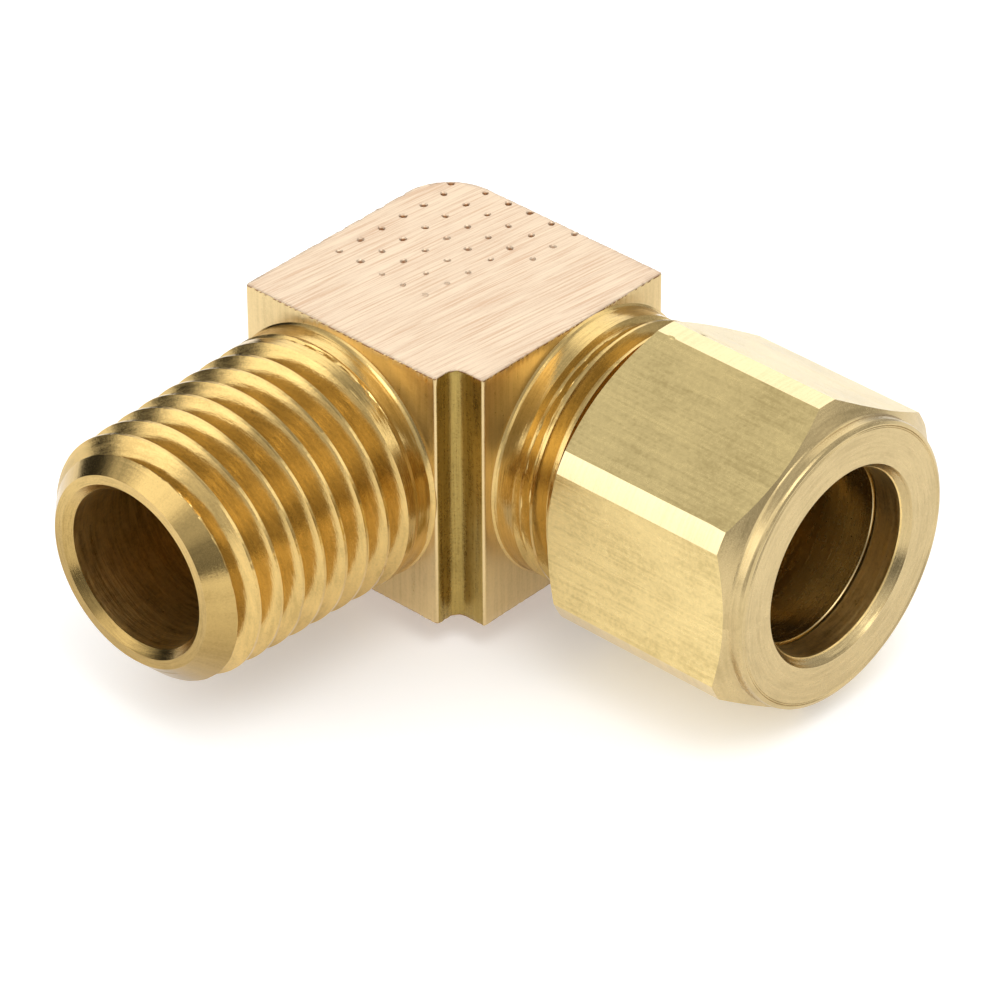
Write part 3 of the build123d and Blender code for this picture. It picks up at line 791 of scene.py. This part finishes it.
def nut():
    t30 = math.tan(math.radians(30))
    zr = NUT_X0 + (NUT_R - REAR_R) * t30
    zf = BOSS_X - (NUT_R - BOSS_R) * t30
    minor = LEG_R - LEG_D + CLEAR
    cone0 = 22.55 - (minor - NUT_BORE)
    outer = [
        (NUT_X0, REAR_R - 0.02),
        (NUT_X0 + 0.02, REAR_R),
        (zr, NUT_R),
        (zf, NUT_R),
        (BOSS_X, BOSS_R + 0.03),
        (BOSS_X + 0.1, BOSS_R),
        (NUT_X1 - 0.20, BOSS_R),
        (NUT_X1 - 0.06, BOSS_R - 0.05),
        (NUT_X1, BOSS_R - 0.18),
        (NUT_X1, BOSS_R - 0.24),
        (NUT_X1 - 0.03, BOSS_R - 0.27),
        (NUT_X1, BOSS_R - 0.30),
        (NUT_X1, BOSS_R - 0.34),
        (NUT_X1 - 0.02, BOSS_R - 0.36),
        (NUT_X1, BOSS_R - 0.38),
        (NUT_X1, BOSS_R - 0.60),
    ]
    d, r = stations(outer, [0.05, 0.10, 0.30, 0.10, 0.05, 0.08, 0.05, 0.05, 0.06, 0.03, 0.03, 0.04, 0.03, 0.03, 0.22])
    n = NPHI
    ob = turned("w_nut", "X", np.tile(d, (n, 1)), np.tile(r, (n, 1)), False, [M_TURN])
    ob = boolean(ob, hex_bar(), "INTERSECT")
    st = 0.05
    inner = [
        (NUT_X0 - 0.3, LEG_R + CLEAR + 0.08),
        (NUT_X0, LEG_R + CLEAR + 0.05),
        (NUT_X0 + 0.55, minor),
        (18.30, minor),
        (cone0, minor),
        (22.55, NUT_BORE),
        (NUT_X1 - MOUTH_D - 0.06, NUT_BORE),
        (NUT_X1 - 0.03, MOUTH_R - 0.02),
        (NUT_X1, MOUTH_R),
        (NUT_X1 + 0.3, MOUTH_R + 0.3),
    ]
    d, r = stations(inner, [0.3, 0.05, st, 0.4, 0.12, 0.06, 0.06, 0.04, 0.3])
    D, R = np.tile(d, (n, 1)), np.tile(r, (n, 1))
    P = (np.arange(n) / n * TAU)[:, None] + 0 * D
    turns = (D - LEG_X) / LEG_P - P / TAU
    w = np.abs(turns - np.round(turns)) * LEG_P
    ht = LEG_C / 2 - CLEAR * t30 + CLEAR / math.cos(math.radians(30))
    groove = LEG_R + CLEAR - np.clip(w - ht, 0, None) / t30
    R = np.where((D > NUT_X0 - 0.01) & (D < 18.3), np.maximum(R, groove), R)
    R = R + ((D > 22.5) & (D < NUT_X1 - 0.1)) * 0.010 * np.clip(ring_noise(P * 0, D, 4, 0.11, 51), 0, 1)
    ob = boolean(ob, turned("w_nut_in", "X", D, R, False, [M_BORE_X]), "DIFFERENCE")
    ob.name = "compression_nut_look"
    me = ob.data
    me.name = "compression_nut_look"
    me.materials.clear()
    for m in (M_HEX, M_TURN, M_BORE_X, M_BAND_PAINTED_HIGHLIGHT):
        me.materials.append(m)
    nf = len(me.polygons)
    c = np.empty(nf * 3)
    me.polygons.foreach_get("center", c)
    c = c.reshape(-1, 3) / MM
    nn = np.empty(nf * 3)
    me.polygons.foreach_get("normal", nn)
    nn = nn.reshape(-1, 3)
    rad = np.hypot(c[:, 1], c[:, 2])
    ang = np.arctan2(c[:, 2], c[:, 1])
    fl = (ang - math.radians(NUT_ANG)) % (TAU / 6) - TAU / 12
    idx = np.ones(nf, int)
    idx[(np.abs(rad * np.cos(fl) - NUT_AF / 2) < 0.14) & (rad > 7.45) & (np.abs(nn[:, 0]) < 0.3) & (c[:, 0] < BOSS_X) & (rad < NUT_R - 0.004)] = 0
    # the turned corners take the brighter material: painted highlight
    idx[(rad > NUT_R - 0.03) & (np.abs(nn[:, 0]) < 0.2) & (idx == 1)] = 3
    inside_face = (nn[:, 1] * c[:, 1] + nn[:, 2] * c[:, 2]) < -0.001
    idx[inside_face & (rad < 7.3) & (c[:, 0] < NUT_X1 - MOUTH_D)] = 2
    me.polygons.foreach_set("material_index", idx.astype(np.int32))
    smooth_by_angle(ob, 24)
    return ob


def sleeve():
    x0, x1 = 16.85, 22.42
    xm, rm = (x0 + x1) / 2, 5.74
    # circle through the three barrel points
    ax, ar, bx, br = x0 + 0.18, 5.26, x1 - 0.22, 5.12
    A = np.array([[ax - xm, ar - rm], [bx - xm, br - rm]])
    rhs = np.array([(ax**2 - xm**2 + ar**2 - rm**2) / 2, (bx**2 - xm**2 + br**2 - rm**2) / 2])
    cx, cr = np.linalg.solve(A, rhs)
    rad = math.hypot(ax - cx, ar - cr)
    xs = np.linspace(ax, bx, 60)
    ys = cr + np.sqrt(np.clip(rad**2 - (xs - cx) ** 2, 0, None)) if cr < rm else cr - np.sqrt(rad**2 - (xs - cx) ** 2)
    barrel = list(zip(xs, ys))
    pts = [(x0, 4.83), (x0, 5.06)] + barrel + [(x1, 4.93), (x1, 4.83), (x1 - 0.05, 4.80), (x0 + 0.05, 4.80), (x0, 4.83)]
    steps = [0.1, 0.08] + [1.0] * (len(barrel) - 1) + [0.08, 0.1, 0.05, 0.12, 0.05]
    d, r = stations(pts, steps)
    d, r = d[:-1], r[:-1]
    n = 360
    D = np.tile(d, (n, 1))
    R = np.tile(r, (n, 1))
    ob = turned("sleeve_look", "X", D, R, True, [M_TURN])
    smooth_by_angle(ob, 30)
    return ob


body = elbow_body()
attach(body, "elbow")
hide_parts("elbow_body")

nut_ob = nut()
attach(nut_ob, "nut")
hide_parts("compression_nut")

sleeve_ob = sleeve()
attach(sleeve_ob, "sleeve_carrier")
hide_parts("sleeve")

# ---------------------------------------------------------------------------
# stage: floor, world, lamps, camera
# ---------------------------------------------------------------------------
scene = bpy.context.scene
scene.view_settings.view_transform = "Standard"
scene.view_settings.look = "None"

fl = Nodes("floor_paper")
fl.bsdf.inputs["Base Color"].default_value = (0.92, 0.92, 0.92, 1)
fl.bsdf.inputs["Roughness"].default_value = 0.75
fl.bsdf.inputs["Emission Color"].default_value = (1, 1, 1, 1)
fl.bsdf.inputs["Emission Strength"].default_value = 0.26
me = bpy.data.meshes.new("floor")
g = 0.14
ring = [(g * math.cos(TAU * k / 128), g * math.sin(TAU * k / 128), 0) for k in range(128)]
me.from_pydata(ring, [], [tuple(range(128))])
me.materials.append(fl.mat)
floor = bpy.data.objects.new("floor", me)
floor.location = (0.004, -0.004, -0.00860)
scene.collection.objects.link(floor)

world = bpy.data.worlds.new("studio")
scene.world = world
world.use_nodes = True
wt = world.node_tree
wt.nodes.clear()
wo = wt.nodes.new("ShaderNodeOutputWorld")
bg = wt.nodes.new("ShaderNodeBackground")
wt.links.new(bg.outputs[0], wo.inputs[0])
tc = wt.nodes.new("ShaderNodeTexCoord")


def wmath(op, a, b, clamp=False):
    n = wt.nodes.new("ShaderNodeMath")
    n.operation = op
    n.use_clamp = clamp
    for k, v in enumerate((a, b)):
        if hasattr(v, "links"):
            wt.links.new(v, n.inputs[k])
        else:
            n.inputs[k].default_value = v
    return n.outputs[0]


def blob(direction, inner, outer):
    """1 near a direction, 0 away from it; angles in degrees."""
    d = Vector(direction).normalized()
    n = wt.nodes.new("ShaderNodeVectorMath")
    n.operation = "DOT_PRODUCT"
    wt.links.new(tc.outputs["Generated"], n.inputs[0])
    n.inputs[1].default_value = d
    m = wt.nodes.new("ShaderNodeMapRange")
    m.interpolation_type = "SMOOTHSTEP"
    wt.links.new(n.outputs["Value"], m.inputs[0])
    m.inputs[1].default_value = math.cos(math.radians(outer))
    m.inputs[2].default_value = math.cos(math.radians(inner))
    m.inputs[3].default_value = 0.0
    m.inputs[4].default_value = 1.0
    return m.outputs[0]


# a soft white room, dark to the left, with a bright ceiling and back
level = wmath("ADD", 0.62, 0.0)
for direction, inner, outer, change in (
    ((-0.55, 0.60, 0.57), 12, 34, 1.15),
    ((-0.556, -0.79, 0.27), 9, 24, 1.35),
    ((-0.20, -0.74, 0.64), 12, 28, 1.00),
    ((0.40, -0.16, 0.90), 14, 42, 0.60),
    ((-0.55, -0.155, 0.81), 6, 22, 0.15),
    ((0.64, 0.60, 0.48), 8, 20, 1.10),
    ((0.22, 0.60, 0.76), 4, 13, -0.25),
    ((-0.95, -0.22, 0.00), 14, 30, -0.60),
    ((-0.82, 0.55, -0.08), 10, 28, -0.60),
    ((0.05, -1.0, 0.05), 8, 22, 0.15),
    ((0.66, -0.74, 0.10), 6, 24, -0.35),
):
    level = wmath("ADD", level, wmath("MULTIPLY", blob(direction, inner, outer), change))
low = blob((0, 0, -1), 84, 91)
level = wmath("MULTIPLY", level, wmath("SUBTRACT", 1.0, wmath("MULTIPLY", low, 0.25)))
level = wmath("MAXIMUM", level, 0.04)
wt.links.new(level, bg.inputs["Strength"])
bg.inputs["Color"].default_value = (1.0, 0.998, 0.99, 1)


def lamp(name, at, size, power, to=(0.003, -0.004, 0), color=(1, 1, 1)):
    li = bpy.data.lights.new(name, "AREA")
    li.shape = "RECTANGLE"
    li.size, li.size_y = size
    li.energy = power
    li.color = color
    o = bpy.data.objects.new(name, li)
    o.location = at
    o.rotation_euler = (Vector(to) - Vector(at)).to_track_quat("-Z", "Y").to_euler()
    scene.collection.objects.link(o)
    return o


lamp("key", (0.10, -0.04, 0.24), (0.14, 0.14), 0.14)

# camera: a long lens from the front right, above
cam_data = bpy.data.cameras.new("camera")
cam = bpy.data.objects.new("camera", cam_data)
scene.collection.objects.link(cam)
cam_data.sensor_width = 36.0
cam_data.sensor_fit = "HORIZONTAL"
cam_data.lens = 216.0
cam_data.clip_start = 0.01
cam_data.clip_end = 20.0
right = Vector((0.7384439, 0.6743075, -0.0031569))
up = Vector((-0.3816524, 0.4218034, 0.8224496))
back = Vector((0.5559156, -0.6061281, 0.5688292))
m = Matrix((right, up, back)).transposed().to_4x4()
m.translation = Vector((168.3389, -180.6539, 163.2085)) * MM
cam.matrix_world = m
scene.camera = cam
